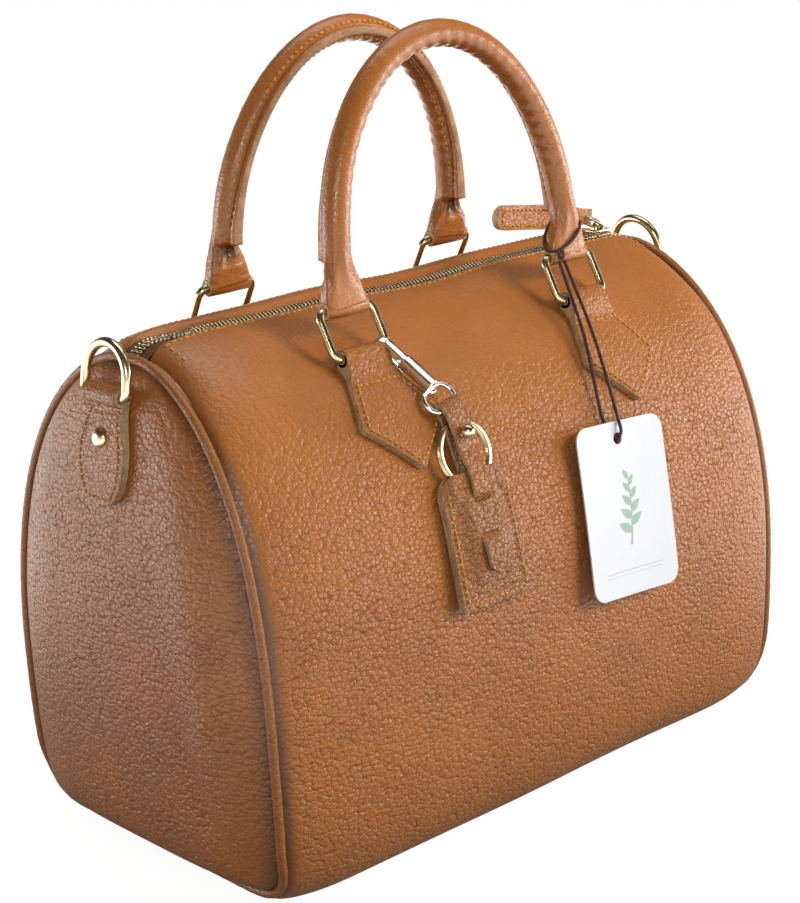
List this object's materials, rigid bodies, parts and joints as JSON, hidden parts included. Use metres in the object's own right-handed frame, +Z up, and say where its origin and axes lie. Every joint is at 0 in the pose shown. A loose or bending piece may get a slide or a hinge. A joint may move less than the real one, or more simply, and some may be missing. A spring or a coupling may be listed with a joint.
{
  "type": "barrel handbag",
  "caption": "Zip-top barrel handbag in tan pebbled leather with rolled handles on rings, end D-rings, a key fob on a snap hook and a paper hang tag.",
  "frame": {"origin": "middle of the flat base, on the ground", "axes": "+Z up, +X along the bag towards its right end seen from the front, -Y out of the front"},
  "size_m": [0.3528, 0.199, 0.359],
  "materials": {
    "leather": "pebbled, semi-matt",
    "piping_leather": "pebbled, semi-matt",
    "gold_metal": "polished pale gold",
    "zip_tape": "woven",
    "lining_cloth": "matt",
    "board": "matt",
    "core_rope": "matt",
    "cord": "waxed",
    "card": "smooth, matt"
  },
  "bodies": {
    "bag": {"body_panel": "leather", "base_board": "board", "lining_panel": "lining_cloth", "slip_pocket": "lining_cloth", "lining_left_end": "lining_cloth", "lining_right_end": "lining_cloth", "left_gusset": "leather", "right_gusset": "leather", "left_piping": "piping_leather", "right_piping": "piping_leather", "left_zip_tape": "zip_tape", "right_zip_tape": "zip_tape", "left_zip_stop": "gold_metal", "right_zip_stop": "gold_metal", "front_left_tab": "leather", "front_right_tab": "leather", "rear_left_tab": "leather", "rear_right_tab": "leather", "left_strap_tab": "leather", "right_strap_tab": "leather", "left_tab_rivet": "gold_metal", "right_tab_rivet": "gold_metal"},
    "front_zip_flap": {"front_zip_tape": "zip_tape", "front_zip_teeth": "gold_metal"},
    "rear_zip_flap": {"rear_zip_tape": "zip_tape", "rear_zip_teeth": "gold_metal"},
    "zip_slider": {"zip_slider": "gold_metal"},
    "zip_pull_ring": {"zip_pull_ring": "gold_metal"},
    "zip_pull": {"zip_pull": "leather"},
    "front_rings": {"front_left_ring": "gold_metal", "front_right_ring": "gold_metal"},
    "rear_rings": {"rear_left_ring": "gold_metal", "rear_right_ring": "gold_metal"},
    "front_handle": {"front_handle": "leather", "front_handle_core": "core_rope", "tag_cord_loop": "cord"},
    "rear_handle": {"rear_handle": "leather", "rear_handle_core": "core_rope"},
    "hang_tag": {"tag_knot": "cord", "tag_cord": "cord", "hang_tag_card": "card"},
    "snap_hook": {"snap_hook": "gold_metal"},
    "snap_gate": {"snap_gate": "gold_metal"},
    "swivel_eye": {"swivel_eye": "gold_metal"},
    "fob": {"fob_strap": "leather", "fob_front": "leather", "fob_stud": "gold_metal"},
    "key_ring": {"key_ring": "gold_metal"},
    "left_d_ring": {"left_d_ring": "gold_metal"},
    "right_d_ring": {"right_d_ring": "gold_metal"}
  },
  "joints": [
    {"name": "front_ring_lean", "type": "hinge", "parent": "bag", "child": "front_rings", "pos_m": [0, -0.05067, 0.22388], "axis": [1, 0, 0], "range_deg": [-1.2, 32]},
    {"name": "front_handle_swing", "type": "hinge", "parent": "front_rings", "child": "front_handle", "pos_m": [0, -0.04034, 0.2433], "axis": [1, 0, 0], "range_deg": [-3, 80]},
    {"name": "hang_tag_swing", "type": "hinge", "parent": "front_handle", "child": "hang_tag", "pos_m": [0.0598, -0.04744, 0.24908], "axis": [1, 0, 0], "range_deg": [-112, 4.2]},
    {"name": "hook_hang", "type": "hinge", "parent": "front_rings", "child": "snap_hook", "pos_m": [-0.05689, -0.05042, 0.22434], "axis": [1, 0, 0], "range_deg": [-32, 1.2]},
    {"name": "rear_ring_lean", "type": "hinge", "parent": "bag", "child": "rear_rings", "pos_m": [0, 0.05067, 0.22388], "axis": [-1, 0, 0], "range_deg": [-2, 32]},
    {"name": "rear_handle_swing", "type": "hinge", "parent": "rear_rings", "child": "rear_handle", "pos_m": [0, 0.04034, 0.2433], "axis": [-1, 0, 0], "range_deg": [-5, 80]},
    {"name": "gate_slide", "type": "slide", "parent": "snap_hook", "child": "snap_gate", "axis": [0.3383, -0.6657, -0.6652], "range_m": [0, 0.004], "stiffness_N_per_m": 100, "springref_m": -0.002},
    {"name": "swivel_turn", "type": "hinge", "parent": "snap_hook", "child": "swivel_eye", "pos_m": [-0.044, -0.07578, 0.199], "axis": [-0.3383, 0.6657, 0.6652], "range_deg": [0, 20]},
    {"name": "fob_lift", "type": "hinge", "parent": "swivel_eye", "child": "fob", "pos_m": [-0.044, -0.07578, 0.199], "axis": [-0.9382, -0.1835, -0.2935], "range_deg": [0, 45]},
    {"name": "key_ring_turn", "type": "hinge", "parent": "fob", "child": "key_ring", "pos_m": [-0.04253, -0.08335, 0.17944], "axis": [0, 0.9448, -0.3276], "continuous": true},
    {"name": "left_d_ring_swing", "type": "hinge", "parent": "bag", "child": "left_d_ring", "pos_m": [-0.16954, 0, 0.219], "axis": [0, -1, 0], "range_deg": [0, 150]},
    {"name": "right_d_ring_swing", "type": "hinge", "parent": "bag", "child": "right_d_ring", "pos_m": [0.16954, 0, 0.219], "axis": [0, 1, 0], "range_deg": [0, 150]},
    {"name": "front_zip_open", "type": "hinge", "parent": "bag", "child": "front_zip_flap", "pos_m": [0, -0.0072, 0.2361], "axis": [-1, 0, 0], "range_deg": [0, 88]},
    {"name": "rear_zip_open", "type": "hinge", "parent": "bag", "child": "rear_zip_flap", "pos_m": [0, 0.0072, 0.2361], "axis": [1, 0, 0], "range_deg": [0, 88]},
    {"name": "zip_slide", "type": "slide", "parent": "bag", "child": "zip_slider", "axis": [-1, 0, 0], "range_m": [0, 0.27]},
    {"name": "pull_ring_swing", "type": "hinge", "parent": "zip_slider", "child": "zip_pull_ring", "pos_m": [0.138, 0, 0.2407], "axis": [0, 1, 0], "range_deg": [-5, 110]},
    {"name": "pull_tab_turn", "type": "hinge", "parent": "zip_pull_ring", "child": "zip_pull", "pos_m": [0.12722, 0, 0.24797], "axis": [0, 1, 0], "range_deg": [-5, 40]}
  ],
  "couplings": [
    {"joint": "front_ring_lean", "follows": "front_handle_swing", "ratio": 0.4},
    {"joint": "hang_tag_swing", "follows": "front_handle_swing", "ratio": -1.4},
    {"joint": "hook_hang", "follows": "front_handle_swing", "ratio": -0.4},
    {"joint": "rear_ring_lean", "follows": "rear_handle_swing", "ratio": 0.4},
    {"joint": "rear_zip_open", "follows": "front_zip_open", "ratio": 1}
  ]
}
